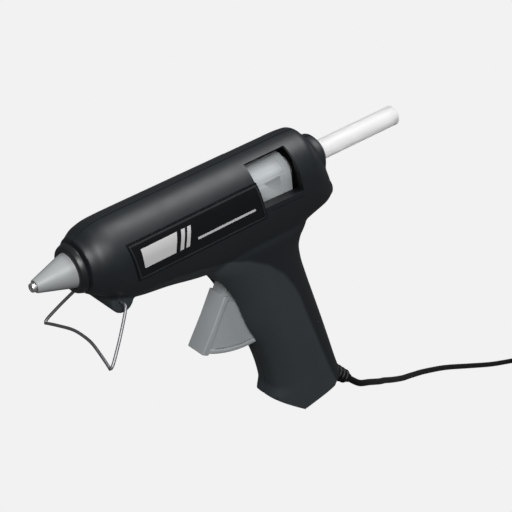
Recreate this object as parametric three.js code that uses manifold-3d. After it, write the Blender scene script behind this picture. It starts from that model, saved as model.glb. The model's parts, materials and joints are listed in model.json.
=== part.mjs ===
// Hobby hot-melt glue gun, standing on the two feet of its fold-out wire stand and on the flat
// front facet of its handle's foot. Millimetres, +Z up, nozzle towards -X, the gun's left side -Y.
//
// The gun is modelled level in its own "gun frame": x runs back from the nozzle tip along the
// barrel axis, z up from that axis, y towards the gun's right side. The whole gun is then pitched
// nose-down by PITCH and set on the floor. The free cord is modelled straight in the part frame.
import * as THREE from 'three';
import { mergeVertices } from 'three/addons/utils/BufferGeometryUtils.js';
import Module from 'manifold-3d';

const wasm = await Module();
wasm.setup();

// ---------------------------------------------------------------- driving dimensions
const PITCH = THREE.MathUtils.degToRad(37.6);
const GAP = 0.3; // clearance between pieces that touch
const WALL = 2.4; // housing wall
const SPLIT = 0.15; // half the gap between the housing halves

const STICK_RADIUS = 5.75;
const STICK_FRONT = 95;
const STICK_BACK = 250;

const COLLAR_FRONT = 23.5;
const COLLAR_BACK = 27.2;
const COLLAR_RADIUS = 14.3;
const SLEEVE_RADIUS = 10.1;
const CHAMBER_RADIUS = 8.6;

const PIVOT = { x: 132, z: -32 }; // trigger hinge
const TRIGGER_REACH = 66;
const TRIGGER_FRONT = THREE.MathUtils.degToRad(57.5); // front face, below the barrel, from -x
const TRIGGER_HALF_WIDTH = 7;
const FORK_REACH = 26;
const FORK_LEAN = THREE.MathUtils.degToRad(20); // the fork leans back at rest, upright when pulled

const STAND_PIVOT = { x: 45, z: -23.7 };
const STAND_FOOT = { x: 22.3, z: -47.2 };
const WIRE_RADIUS = 1.05;

const FOOT_LIP = [145.8, -143.8]; // front edge of the handle's foot
const FOOT_HEEL = [FOOT_LIP[0] + 13.7, FOOT_LIP[1] - 13.7 * Math.tan(PITCH)];
const FOOT_BACK = [183.5, -150];
const FOOT_CORNER = [192.5, -141.5];

const RELIEF_ROOT = new THREE.Vector3(188, 0, -146);
const RELIEF_DIRECTION = new THREE.Vector3(0.71, 0, -0.7).normalize();
const RELIEF_LENGTH = 22.5;

const CORD_RADIUS = 2;
const COIL = { x: 693, y: 272, inner: 18, outer: 30, layers: 2 };
const FLOOR = 0.1; // the cord's underside lies this far above the resting surface

const PLUG = { width: 25, height: 13.6, length: 34, pinSpacing: 19, pinRadius: 2, pinLength: 19 };

// Barrel sections: x, top, bottom, half width, height of the widest point.
const BARREL = [
  [27.5, 12.7, -12.7, 12.7, 0],
  [28.5, 12.7, -12.7, 12.7, 0],
  [28.6, 16.2, -14.8, 15.6, 0],
  [36, 19.7, -18.6, 19, 0],
  [45, 21.4, -24, 20.4, 0],
  [56, 21.7, -29.3, 20.4, 0],
  [78, 21.7, -33.2, 20.2, 0],
  [100, 21.7, -38, 20, 0],
  [120, 21.7, -40.5, 19.7, 0],
  [150, 21.7, -40.5, 19.5, 0],
  [168, 21.7, -36.5, 19.1, 0],
  [177, 21.3, -33.5, 18.4, -1],
  [183, 15, -31.6, 17, -7],
  [190, 0.5, -29.6, 14, -14],
  [195.5, -14.5, -26.8, 9.8, -20.5],
];

// Handle sections: z, front, rear, half width.
const HANDLE = [
  [-22, 112, 172, 14],
  [-32, 103, 176.5, 17.4],
  [-38, 105, 172, 17.2],
  [-46, 111.5, 169.4, 16.8],
  [-54, 116.5, 170.1, 16.4],
  [-64, 121, 172.3, 16],
  [-83, 126.7, 177.2, 15.4],
  [-93, 131, 179.8, 15.1],
  [-103, 135.4, 182.3, 14.9],
  [-118, 139.9, 186, 14.6],
  [-128, 141.8, 188.4, 14.4],
  [-134, 142.4, 189.9, 14.3],
  [-140, 140.4, 191.6, 14.2],
  [-158, 139.4, 196, 14.2],
];

const SCREWS = [
  [53, -21],
  [100, -28],
  [176, -20],
  [163, -66],
  [154.8, -136],
];

// ---------------------------------------------------------------- solids
function outward(geometry) {
  const position = geometry.getAttribute('position');
  const index = geometry.getIndex();
  const corners = [new THREE.Vector3(), new THREE.Vector3(), new THREE.Vector3()];
  let volume = 0;
  for (let i = 0; i < index.count; i += 3) {
    corners.forEach((corner, k) => corner.fromBufferAttribute(position, index.getX(i + k)));
    volume += corners[0].dot(corners[1].clone().cross(corners[2]));
  }
  if (volume < 0) {
    for (let i = 0; i < index.count; i += 3) {
      const first = index.getX(i);
      index.setX(i, index.getX(i + 1));
      index.setX(i + 1, first);
    }
  }
  return geometry;
}

function solid(source) {
  let geometry = source.clone();
  geometry.deleteAttribute('normal');
  geometry.deleteAttribute('uv');
  geometry = outward(mergeVertices(geometry, 1e-4));
  const vertProperties = new Float32Array(geometry.getAttribute('position').array);
  const triVerts = new Uint32Array(geometry.getIndex().array);
  const mesh = new wasm.Mesh({ numProp: 3, vertProperties, triVerts });
  mesh.merge();
  return new wasm.Manifold(mesh);
}

function geometryOf(manifold) {
  const mesh = manifold.getMesh();
  const geometry = new THREE.BufferGeometry();
  geometry.setAttribute('position', new THREE.BufferAttribute(mesh.vertProperties, 3));
  geometry.setIndex(new THREE.BufferAttribute(mesh.triVerts, 1));
  geometry.computeVertexNormals();
  return geometry;
}

function join(...pieces) {
  return pieces.reduce((whole, piece) => whole.add(piece));
}

function cut(body, ...tools) {
  return tools.reduce((rest, tool) => rest.subtract(tool), body);
}

function block(x0, x1, y0, y1, z0, z1) {
  const geometry = new THREE.BoxGeometry(x1 - x0, y1 - y0, z1 - z0);
  geometry.translate((x0 + x1) / 2, (y0 + y1) / 2, (z0 + z1) / 2);
  return solid(geometry);
}

// A solid turned about the barrel axis from [x, radius] points.
function turned(profile, segments = 24) {
  const points = profile.map(([x, radius]) => new THREE.Vector2(radius, x));
  const geometry = new THREE.LatheGeometry(points, segments);
  geometry.rotateZ(-Math.PI / 2);
  return solid(geometry);
}

function tubeAlongX(x0, x1, inner, outer, segments = 24) {
  return turned([[x0, inner], [x0, outer], [x1, outer], [x1, inner], [x0, inner]], segments);
}

function rodAlongX(x0, x1, radius, segments = 24) {
  return turned([[x0, 0], [x0, radius], [x1, radius], [x1, 0]], segments);
}

function rodAlongY(x, z, radius, y0, y1, segments = 12) {
  const geometry = new THREE.CylinderGeometry(radius, radius, y1 - y0, segments);
  geometry.translate(x, (y0 + y1) / 2, z);
  return solid(geometry);
}

// An outline of [x, z] points, extruded across the gun from y0 to y1.
function slab(outline, y0, y1) {
  const shape = new THREE.Shape(outline.map(([x, z]) => new THREE.Vector2(x, z)));
  const geometry = new THREE.ExtrudeGeometry(shape, { depth: y1 - y0, bevelEnabled: false });
  geometry.rotateX(Math.PI / 2);
  geometry.translate(0, y1, 0);
  return solid(geometry);
}

// A round bar along a curve, with its end faces square to it.
function bar(curve, radius, steps, sides = 8) {
  const section = new THREE.Shape();
  for (let i = 0; i < sides; i += 1) {
    const angle = (2 * Math.PI * i) / sides;
    const point = [radius * Math.cos(angle), radius * Math.sin(angle)];
    if (i === 0) section.moveTo(...point);
    else section.lineTo(...point);
  }
  return new THREE.ExtrudeGeometry(section, { steps, bevelEnabled: false, extrudePath: curve });
}

function curveThrough(points, tension = 0.5) {
  const vectors = points.map((point) => new THREE.Vector3(...point));
  return new THREE.CatmullRomCurve3(vectors, false, 'catmullrom', tension);
}

function loft(rings) {
  const count = rings[0].length;
  const positions = rings.flat(2);
  for (const ring of [rings[0], rings.at(-1)]) {
    for (let axis = 0; axis < 3; axis += 1) {
      positions.push(ring.reduce((sum, point) => sum + point[axis], 0) / count);
    }
  }
  const index = [];
  const firstCentre = rings.length * count;
  for (let k = 0; k < count; k += 1) {
    const next = (k + 1) % count;
    for (let r = 0; r + 1 < rings.length; r += 1) {
      const [a, b] = [r * count + k, r * count + next];
      index.push(a, b, b + count, a, b + count, a + count);
    }
    const last = (rings.length - 1) * count;
    index.push(firstCentre, next, k);
    index.push(firstCentre + 1, last + k, last + next);
  }
  const geometry = new THREE.BufferGeometry();
  geometry.setAttribute('position', new THREE.Float32BufferAttribute(positions, 3));
  geometry.setIndex(index);
  return solid(geometry);
}

function roundedPower(value, exponent) {
  return Math.sign(value) * Math.abs(value) ** exponent;
}

// The barrel housing's outside, grown by grow: round above its widest point, boxier below it.
function barrelSolid(grow) {
  const sides = 24;
  return loft(BARREL.map(([x, top, bottom, width, centre]) => {
    const ring = [];
    for (let k = 0; k < sides; k += 1) {
      const angle = (2 * Math.PI * k) / sides;
      const up = Math.sin(angle);
      const power = up > 0 ? 1 : 0.74;
      const height = up > 0 ? top + grow - centre : centre - bottom + grow;
      const across = (width + grow) * roundedPower(Math.cos(angle), power);
      ring.push([x, across, centre + height * roundedPower(up, power)]);
    }
    return ring;
  }));
}

// The handle's outside, grown by grow, before its foot is cut to its facets.
function handleSolid(grow) {
  const sides = 24;
  return loft(HANDLE.map(([z, front, rear, width]) => {
    const ring = [];
    for (let k = 0; k < sides; k += 1) {
      const angle = (2 * Math.PI * k) / sides;
      const along = ((rear - front) / 2 + grow) * roundedPower(Math.cos(angle), 0.62);
      const across = (width + grow) * roundedPower(Math.sin(angle), 0.62);
      ring.push([(front + rear) / 2 + along, across, z]);
    }
    return ring;
  }));
}

// Everything above the foot's three facets.
function aboveFoot() {
  const outline = [
    [90, 0], [90, -110], [FOOT_LIP[0] - 30, FOOT_LIP[1] + 30 * Math.tan(PITCH)], FOOT_HEEL,
    FOOT_BACK, FOOT_CORNER, [230, -104], [230, 0],
  ];
  return slab(outline, -40, 40);
}

// ---------------------------------------------------------------- housing
function outsideOfHousing() {
  const handle = handleSolid(0).intersect(aboveFoot());
  const stickBoss = turned([[170, 0], [170, 16], [181, 14], [183, 12.5], [190.5, 12.2], [190.5, 0]]);
  const standLug = rodAlongY(46.5, -24.4, 7.3, -13.4, 13.4, 16);
  return join(barrelSolid(0), handle, stickBoss, standLug);
}

function insideOfHousing() {
  const barrel = barrelSolid(-WALL).intersect(block(33, 190, -40, 40, -60, 40));
  const handle = handleSolid(-WALL).intersect(aboveFoot().translate(0, 0, WALL + 0.5));
  return join(barrel, handle);
}

// A layer of the left wall between two growths of the barrel's outside, over the label's outline.
function leftLayer(outer, inner, margin) {
  const outline = [
    [50 - margin, 11 + margin], [137 + margin, 11 + margin],
    [141 + margin, -12 - margin], [54 - margin, -12 - margin],
  ];
  return cut(barrelSolid(outer), barrelSolid(inner)).intersect(slab(outline, -30, -5));
}

// The stick window: a quadrilateral with bowed ends in the side view.
function windowCutter() {
  const shape = new THREE.Shape();
  shape.moveTo(139, -5.5);
  shape.lineTo(167.5, -6.5);
  shape.quadraticCurveTo(164.5, 6, 164, 19.5);
  shape.lineTo(136, 19.5);
  shape.quadraticCurveTo(136.2, 6, 139, -5.5);
  return slab(shape.getPoints(5).slice(0, -1).map((point) => [point.x, point.y]), -30, -7);
}

function triggerSlotCutter() {
  const outline = [
    [112, -28], [121, -28], [128, -40], [133, -60], [138, -85], [138, -98], [112, -98],
  ];
  return slab(outline, -8, 8);
}

function reliefFrame(geometry) {
  geometry.applyQuaternion(
    new THREE.Quaternion().setFromUnitVectors(new THREE.Vector3(0, 1, 0), RELIEF_DIRECTION),
  );
  geometry.translate(RELIEF_ROOT.x, RELIEF_ROOT.y, RELIEF_ROOT.z);
  return geometry;
}

// A point at a distance along the strain relief's axis and a side step across it.
function alongRelief(distance, side = 0) {
  const x = RELIEF_ROOT.x + RELIEF_DIRECTION.x * distance - RELIEF_DIRECTION.z * side;
  const z = RELIEF_ROOT.z + RELIEF_DIRECTION.z * distance + RELIEF_DIRECTION.x * side;
  return [x, z];
}

const CLAMP_DISTANCE = -17;
const CLAMP_POSTS = [alongRelief(CLAMP_DISTANCE, 6.5), alongRelief(CLAMP_DISTANCE, -6.5)];

function housingShell() {
  const outside = outsideOfHousing();
  let inner = join(
    block(44, 46, -25, 25, -40, 25),
    block(92, 94, -25, 25, -40, 25),
    tubeAlongX(176, 190.5, 9.6, 12.2),
    rodAlongY(PIVOT.x, PIVOT.z, 4.5, -20, 20),
  );
  for (const [x, z] of SCREWS) inner = inner.add(rodAlongY(x, z, 4.6, -22, 22));
  let shell = cut(outside, insideOfHousing()).add(inner.intersect(outside));
  const reliefHole = solid(reliefFrame(new THREE.CylinderGeometry(4.6, 4.6, 16, 16)));
  const windows = windowCutter().add(windowCutter().mirror([0, 1, 0]));
  shell = cut(
    shell,
    rodAlongX(27, 34, 11.7),
    rodAlongX(43, 95, CHAMBER_RADIUS + GAP),
    rodAlongX(170, 193, 9.7),
    block(43, 95, -8, 8, -20.5, 0),
    rodAlongY(PIVOT.x, PIVOT.z, 2.3, -14, 14),
    rodAlongY(PIVOT.x, PIVOT.z, 5.2, -10.2, 10.2),
    rodAlongY(STAND_PIVOT.x, STAND_PIVOT.z, 1.4, 8, 20),
    rodAlongY(STAND_PIVOT.x, STAND_PIVOT.z, 1.4, -20, -8),
    windows,
    triggerSlotCutter(),
    reliefHole,
    leftLayer(3, -0.9, GAP),
  );
  for (const [x, z] of SCREWS) {
    shell = cut(shell, rodAlongY(x, z, 1.65, -10.5, 9), rodAlongY(x, z, 3.1, 6.8, 25));
  }
  return shell;
}

function housings() {
  const shell = housingShell();
  const left = shell.intersect(block(0, 230, -40, -SPLIT, -200, 60));
  const right = shell.intersect(block(0, 230, SPLIT, 40, -200, 60));
  const posts = CLAMP_POSTS.map(([x, z]) => rodAlongY(x, z, 2.8, -14, 2.3)
    .intersect(block(x - 5, x + 5, -13, 3, z - 5, z + 5)));
  const rail = block(120, 171, -18.5, -13, -13.6, -11.6);
  const holes = CLAMP_POSTS.map(([x, z]) => rodAlongY(x, z, 1.35, -6.5, 3));
  const railLeft = rail.intersect(barrelSolid(-1));
  const railRight = rail.mirror([0, 1, 0]).intersect(barrelSolid(-1));
  return {
    left: cut(join(left, railLeft, ...posts), ...holes),
    right: right.add(railRight),
  };
}

function frontCollar() {
  return turned([
    [COLLAR_FRONT, 10.4], [COLLAR_FRONT, 12.6], [COLLAR_FRONT + 0.7, 13.3],
    [COLLAR_BACK, COLLAR_RADIUS], [COLLAR_BACK, 11.4], [35, 11.4], [35, 10.4], [COLLAR_FRONT, 10.4],
  ]);
}

function labelPlate() {
  return leftLayer(0.35, -0.6, 0);
}

function housingScrew([x, z]) {
  return join(rodAlongY(x, z, 1.35, -10, 7.4, 10), rodAlongY(x, z, 2.7, 7.1, 9.2, 14));
}

// ---------------------------------------------------------------- melt unit
function nozzle() {
  return turned([
    [0, 1.1], [0, 2.3], [0.4, 2.6], [3, 2.7], [24, 6.6], [37.7, 6.6], [37.7, 4.3], [47, 4.3],
    [47, 2.6], [28, 2.6], [28, 1.6], [8, 1.6], [6, 1.1], [0, 1.1],
  ], 18);
}

function nozzleSleeve() {
  return turned([
    [2.6, 3.05], [2.6, 3.7], [24, SLEEVE_RADIUS], [31, SLEEVE_RADIUS], [31, 7], [24, 7],
    [2.6, 3.05],
  ], 28);
}

function valveBall() {
  const geometry = new THREE.SphereGeometry(2.2, 12, 8);
  geometry.translate(46, 0, 0);
  return solid(geometry);
}

function coil(centre, axisToRing, radius, wire, pitch, turns, stepsPerTurn, sides) {
  const points = [];
  const count = Math.round(turns * stepsPerTurn);
  for (let i = 0; i <= count; i += 1) {
    const angle = (2 * Math.PI * i) / stepsPerTurn;
    const offset = axisToRing(radius * Math.cos(angle), radius * Math.sin(angle), pitch * i / stepsPerTurn);
    points.push([centre[0] + offset[0], centre[1] + offset[1], centre[2] + offset[2]]);
  }
  return solid(bar(curveThrough(points), wire, count, sides));
}

function valveSpring() {
  return coil([28.7, 0, 0], (a, b, c) => [c, a, b], 1.85, 0.35, 2.8, 5, 8, 5);
}

function meltChamber() {
  const body = turned([
    [38, 4.6], [38, CHAMBER_RADIUS], [104, CHAMBER_RADIUS], [104, 6.3], [59, 6.3], [54, 1.5],
    [48, 1.5], [48, 4.6], [38, 4.6],
  ]);
  const heaterSeat = cut(block(58, 90, -6.6, 6.6, -14, -5), rodAlongX(50, 105, 7.4));
  return body.add(heaterSeat);
}

function heaterClip() {
  const base = block(64, 84, -8, 8, -19.6, -18.6);
  const cheeks = [-8, 7].map((y) => block(64, 84, y, y + 1, -19.2, -9.4));
  return join(base, ...cheeks);
}

function inletSeal() {
  return turned([
    [97, CHAMBER_RADIUS + GAP], [97, 11.2], [112, 11.2], [116, 8.4], [116, STICK_RADIUS + GAP],
    [104.3, STICK_RADIUS + GAP], [104.3, CHAMBER_RADIUS + GAP], [97, CHAMBER_RADIUS + GAP],
  ]);
}

function sealClamp() {
  const ring = [];
  for (let i = 0; i <= 6; i += 1) {
    const angle = (2 * Math.PI * i) / 6;
    ring.push([101 + 0.7 * Math.sin(angle), 12.2 + 0.7 * Math.cos(angle)]);
  }
  return turned(ring, 20);
}

// ---------------------------------------------------------------- stick feed
function rearGuide() {
  return turned([
    [176.3, STICK_RADIUS + GAP], [176.3, 9.4], [192, 9.4], [192.4, 8.9], [192.4, 6.7],
    [190, STICK_RADIUS + GAP], [176.3, STICK_RADIUS + GAP],
  ]);
}

function glueStick() {
  return turned([
    [STICK_FRONT, 0], [STICK_FRONT, 5.2], [STICK_FRONT + 0.7, STICK_RADIUS],
    [STICK_BACK, STICK_RADIUS], [STICK_BACK, 0],
  ]);
}

const FORK_PIN = {
  x: PIVOT.x + FORK_REACH * Math.sin(FORK_LEAN),
  z: PIVOT.z + FORK_REACH * Math.cos(FORK_LEAN),
};
const GRIPPER_PIN = { x: 156, z: -8.6 };

function feedCarriage() {
  const profile = [[148, -9.5], [165, -9.5], [165, 9.5], [162, 12.2], [148, 12.2]];
  const side = [[136.6, -11.3], [165, -11.3], [165, 8], [160, 11], [136.6, 8.5]];
  const cage = slab(profile, -9, 9);
  const cheeks = join(slab(side, -12.6, -10.4), slab(side, 10.4, 12.6));
  const bridgeOutline = profile.map(([x, z]) => [x, z * 0.8]);
  const bridges = join(slab(bridgeOutline, -11, -8.5), slab(bridgeOutline, 8.5, 11));
  const pivotLug = block(153.2, 158.8, -9, 9, -11.4, -8);
  return cut(
    join(cage, cheeks, bridges, pivotLug),
    rodAlongX(130, 170, STICK_RADIUS + 0.8, 20),
    block(FORK_PIN.x - 1.95, FORK_PIN.x + 1.95, -14, 14, -14, -3.6),
    block(151, 161, -3.6, 3.6, -16, -4),
    rodAlongY(GRIPPER_PIN.x, GRIPPER_PIN.z, 1.15, -9.2, 9.2, 10),
  );
}

function gripperPin() {
  return rodAlongY(GRIPPER_PIN.x, GRIPPER_PIN.z, 0.85, -8.8, 8.8, 10);
}

function stickGripper() {
  const outline = [[153.6, -10.6], [158.2, -10.6], [157.9, -7.2], [156.5, -6.25], [155, -6.7]];
  return cut(slab(outline, -3.2, 3.2), rodAlongY(GRIPPER_PIN.x, GRIPPER_PIN.z, 1.15, -4, 4, 10));
}

// A point at a reach from the trigger hinge and an angle below the barrel, measured from -x.
function fromHinge(reach, angle) {
  return [PIVOT.x - reach * Math.cos(angle), PIVOT.z - reach * Math.sin(angle)];
}

function hingeArc(reach, from, to, steps) {
  const points = [];
  for (let i = 0; i <= steps; i += 1) points.push(fromHinge(reach, from + ((to - from) * i) / steps));
  return points;
}

function trigger() {
  const back = THREE.MathUtils.degToRad(100);
  const degree = THREE.MathUtils.degToRad(1);
  const web = slab([[PIVOT.x, PIVOT.z], ...hingeArc(63, TRIGGER_FRONT + degree, back, 7)], -6, 6);
  const pad = slab([
    fromHinge(26, TRIGGER_FRONT), fromHinge(46, TRIGGER_FRONT + degree),
    ...hingeArc(TRIGGER_REACH, TRIGGER_FRONT, TRIGGER_FRONT + 5 * degree, 1),
    fromHinge(46, TRIGGER_FRONT + 7 * degree), fromHinge(26, TRIGGER_FRONT + 11 * degree),
  ], -TRIGGER_HALF_WIDTH, TRIGGER_HALF_WIDTH);
  const flange = slab([
    ...hingeArc(64.6, TRIGGER_FRONT + degree, back, 7), ...hingeArc(61.4, back, TRIGGER_FRONT, 7),
  ], -6.6, 6.6);
  const hub = rodAlongY(PIVOT.x, PIVOT.z, 4.9, -9.9, 9.9, 18);
  const [sideX, sideZ] = [2.6 * Math.cos(FORK_LEAN), -2.6 * Math.sin(FORK_LEAN)];
  const prongOutline = [
    [PIVOT.x - sideX * 1.5, PIVOT.z - sideZ * 1.5], [PIVOT.x + sideX * 1.5, PIVOT.z + sideZ * 1.5],
    [FORK_PIN.x + sideX, FORK_PIN.z + sideZ], [FORK_PIN.x - sideX, FORK_PIN.z - sideZ],
  ];
  const prong = join(
    slab(prongOutline, 7.3, 9.9),
    rodAlongY(FORK_PIN.x, FORK_PIN.z, 2.6, 7.3, 9.9),
    rodAlongY(FORK_PIN.x, FORK_PIN.z, 1.55, 7.3, 12.7),
  );
  const lever = join(web, pad, flange, hub, prong, prong.mirror([0, 1, 0]));
  return cut(lever, rodAlongY(PIVOT.x, PIVOT.z, 2.3, -12, 12, 14));
}

function triggerPin() {
  return rodAlongY(PIVOT.x, PIVOT.z, 2, -13.7, 13.7);
}

function triggerSpring() {
  return coil([PIVOT.x, 10.75, PIVOT.z], (a, b, c) => [a, c, b], 5.4, 0.45, 0.95, 2, 10, 5);
}

// ---------------------------------------------------------------- wire stand
// One bent wire: in through the left lug, down the left leg, across the bowed foot bar and back.
function wireStand() {
  const onLeg = (share, y) => [
    STAND_FOOT.x + (STAND_PIVOT.x - STAND_FOOT.x) * share,
    y,
    STAND_FOOT.z + (STAND_PIVOT.z - STAND_FOOT.z) * share,
  ];
  const leftHalf = [
    onLeg(1, -9.4), onLeg(1, -15.4), onLeg(0.98, -17.6), onLeg(0.88, -20), onLeg(0.5, -25.6),
    onLeg(0.2, -29.4), onLeg(0.06, -30.8), onLeg(0, -30.4), onLeg(0.02, -28.4), onLeg(0.08, -21.5),
    onLeg(0.17, -9.5),
  ];
  const rightHalf = leftHalf.map(([x, y, z]) => [x, -y, z]).reverse();
  return solid(bar(curveThrough([...leftHalf, onLeg(0.19, 0), ...rightHalf], 0.4), WIRE_RADIUS, 56, 7));
}

// ---------------------------------------------------------------- wiring inside the handle
function terminalBlock() {
  const wireEntries = [-3.6, 3.6].map((y) => block(154, 162, y - 1.7, y + 1.7, -111, -107));
  return cut(block(149, 167, -7.5, 7.5, -122, -108), ...wireEntries);
}

function lead(hand) {
  const points = [
    [158, 3.6, -107.6], [157.5, 8.6, -98], [154, 11.6, -82], [150, 12, -62], [142, 12.1, -47],
    [128, 12, -41], [114, 9.6, -29.6], [103, 8, -19.6], [94, 4, -15.9], [88.4, 3, -15.7],
  ];
  return solid(bar(curveThrough(points.map(([x, y, z]) => [x, hand * y, z])), 0.95, 34, 6));
}

function supplyTail() {
  const [nearX, nearZ] = alongRelief(-7.6);
  const [clampX, clampZ] = alongRelief(CLAMP_DISTANCE);
  const points = [
    [nearX, 0, nearZ], [clampX, 0, clampZ], [167, 0, -129],
    [160.5, 0, -127.6], [158, 0, -125], [158, 0, -122.4],
  ];
  return solid(bar(curveThrough(points), CORD_RADIUS - 0.1, 14, 8));
}

function cordClamp() {
  const [ax, az] = alongRelief(CLAMP_DISTANCE, 9.2);
  const [bx, bz] = alongRelief(CLAMP_DISTANCE, -9.2);
  const step = RELIEF_DIRECTION.clone().multiplyScalar(3);
  const outline = [
    [ax - step.x, az - step.z], [ax + step.x, az + step.z],
    [bx + step.x, bz + step.z], [bx - step.x, bz - step.z],
  ];
  const holes = CLAMP_POSTS.map(([x, z]) => rodAlongY(x, z, 1.35, 2, 6));
  return cut(slab(outline, 2.6, 4.6), ...holes);
}

function clampScrew([x, z]) {
  return join(rodAlongY(x, z, 1.05, -6.2, 5.2, 10), rodAlongY(x, z, 2.1, 4.9, 6.3, 12));
}

function strainRelief() {
  const profile = [[-7, 0], [-7, 5.6], [-4.8, 5.6], [-4.8, 4.3], [1, 4.3], [1.6, 5.3], [4, 5.3]];
  for (let rib = 0; rib < 4; rib += 1) {
    const start = 4.3 + rib * 3.7;
    const radius = 4.9 - rib * 0.42;
    profile.push([start, radius - 0.8], [start + 1.2, radius - 0.8]);
    profile.push([start + 1.4, radius], [start + 3.4, radius]);
  }
  profile.push([RELIEF_LENGTH - 3, 2.9], [RELIEF_LENGTH, 2.7], [RELIEF_LENGTH, 0]);
  const points = profile.map(([y, radius]) => new THREE.Vector2(radius, y));
  return solid(reliefFrame(new THREE.LatheGeometry(points, 12)));
}

// ---------------------------------------------------------------- free cord, in the part frame
// From the strain relief the cord droops to the floor and runs back and away to its coil.
function cordRoute(start, direction) {
  const lie = FLOOR + CORD_RADIUS;
  const step = (distance) => start.clone().addScaledVector(direction, distance).toArray();
  const reach = COIL.outer - CORD_RADIUS;
  const entry = [COIL.x - 0.46 * reach, COIL.y + 0.89 * reach];
  return [
    step(GAP), step(11), [161, 9, 19.8], [194, 29, 17], [219, 46, 14.4], [247, 64, 11.5],
    [276, 83, 8.6], [305, 102, 6], [332, 120, 4], [358, 136.5, 2.7], [384, 152, lie],
    [414, 168, lie], [441, 182, lie], [468, 195, lie], [519, 218, lie], [578, 245, lie],
    [630, 271, lie], [...entry, lie],
  ];
}

function coilSolid(margin) {
  const top = FLOOR + 2 * CORD_RADIUS * COIL.layers;
  const profile = [
    [COIL.inner - margin, FLOOR - margin], [COIL.outer + margin, FLOOR - margin],
    [COIL.outer + margin, top + margin], [COIL.inner - margin, top + margin],
    [COIL.inner - margin, FLOOR - margin],
  ].map(([radius, height]) => new THREE.Vector2(radius, height));
  const geometry = new THREE.LatheGeometry(profile, 32);
  geometry.rotateX(Math.PI / 2);
  geometry.translate(COIL.x, COIL.y, 0);
  return solid(geometry);
}

function cordTube(route) {
  return cut(solid(bar(curveThrough(route), CORD_RADIUS, 64, 8)), coilSolid(GAP));
}

const PLUG_X = COIL.x + COIL.outer - CORD_RADIUS;
const PLUG_Z = PLUG.height / 2;
const PLUG_BACK = COIL.y - 34;

// The last stretch leaves the coil's upper outer turn and goes straight into the plug.
function cordTail() {
  const height = FLOOR + 3 * CORD_RADIUS;
  const points = [
    [PLUG_X, COIL.y, height], [PLUG_X, COIL.y - 12, height + 0.1],
    [PLUG_X, COIL.y - 24, PLUG_Z], [PLUG_X, PLUG_BACK + GAP, PLUG_Z],
  ];
  return cut(solid(bar(curveThrough(points), CORD_RADIUS, 10, 8)), coilSolid(GAP));
}

function plugBody() {
  const { width, height, length } = PLUG;
  const outline = new THREE.Shape();
  outline.moveTo(-width / 2, -height / 2 + 4);
  outline.lineTo(-width / 2 + 6, -height / 2);
  outline.lineTo(width / 2 - 6, -height / 2);
  outline.lineTo(width / 2, -height / 2 + 4);
  outline.lineTo(width / 2, height / 2 - 4);
  outline.lineTo(width / 2 - 6, height / 2);
  outline.lineTo(-width / 2 + 6, height / 2);
  outline.lineTo(-width / 2, height / 2 - 4);
  const geometry = new THREE.ExtrudeGeometry(outline, { depth: length, bevelEnabled: false });
  const position = geometry.getAttribute('position');
  for (let i = 0; i < position.count; i += 1) {
    const taper = 1 - 0.55 * (position.getZ(i) / length) ** 2;
    position.setX(i, position.getX(i) * taper);
  }
  geometry.rotateX(-Math.PI / 2);
  geometry.translate(PLUG_X, PLUG_BACK - length, PLUG_Z);
  return solid(geometry);
}

function plugPin(side) {
  const x = PLUG_X + (side * PLUG.pinSpacing) / 2;
  const face = PLUG_BACK - PLUG.length - GAP;
  return rodAlongY(x, PLUG_Z, PLUG.pinRadius, face - PLUG.pinLength, face);
}

// ---------------------------------------------------------------- assembly
const COLOURS = {
  housing: ['#1b1d20', 0.55, 0],
  collar: ['#17181a', 0.4, 0],
  label: ['#101113', 0.35, 0],
  trigger: ['#9a9c9e', 0.5, 0],
  silicone: ['#9fa19f', 0.5, 0],
  rubber: ['#141414', 0.7, 0],
  steel: ['#8d9094', 0.3, 0.9],
  brass: ['#c9cbcd', 0.25, 0.9],
  aluminium: ['#b5b8ba', 0.35, 0.9],
  ceramic: ['#d9d4c8', 0.6, 0],
  film: ['#b9842c', 0.4, 0],
  glue: ['#eeeeea', 0.3, 0],
  red: ['#7d2b25', 0.5, 0],
  white: ['#dcdcd8', 0.5, 0],
};

function material(slot) {
  const [color, roughness, metalness] = COLOURS[slot];
  return new THREE.MeshStandardMaterial({ color, roughness, metalness });
}

const gun = new THREE.Group();
gun.rotation.y = -PITCH;

function place(name, slot, body, group = gun) {
  const geometry = body instanceof THREE.BufferGeometry ? body : geometryOf(body);
  const mesh = new THREE.Mesh(geometry, material(slot));
  mesh.name = name;
  group.add(mesh);
}

const { left, right } = housings();
place('housing_left', 'housing', left);
place('housing_right', 'housing', right);
place('front_collar', 'collar', frontCollar());
place('label_plate', 'label', labelPlate());
SCREWS.forEach((spot, i) => place(`housing_screw_${i + 1}`, 'steel', housingScrew(spot)));
place('nozzle', 'brass', nozzle());
place('nozzle_sleeve', 'silicone', nozzleSleeve());
place('valve_ball', 'steel', valveBall());
place('valve_spring', 'steel', valveSpring());
place('melt_chamber', 'aluminium', meltChamber());
place('ptc_heater', 'ceramic', block(60, 88, -5.4, 5.4, -17, -14.3));
place('heater_insulator', 'film', block(59, 89, -6.4, 6.4, -18.2, -17.4));
place('heater_clip', 'steel', heaterClip());
place('inlet_seal', 'red', inletSeal());
place('seal_clamp', 'steel', sealClamp());
place('rear_guide', 'collar', rearGuide());
place('glue_stick', 'glue', glueStick());
place('feed_carriage', 'trigger', feedCarriage());
place('stick_gripper', 'steel', stickGripper());
place('gripper_pin', 'steel', gripperPin());
place('trigger', 'trigger', trigger());
place('trigger_pin', 'steel', triggerPin());
place('trigger_spring', 'steel', triggerSpring());
place('wire_stand', 'steel', wireStand());
place('terminal_block', 'white', terminalBlock());
place('lead_live', 'red', lead(-1));
place('lead_neutral', 'white', lead(1));
place('supply_tail', 'rubber', supplyTail());
place('cord_clamp', 'white', cordClamp());
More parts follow.
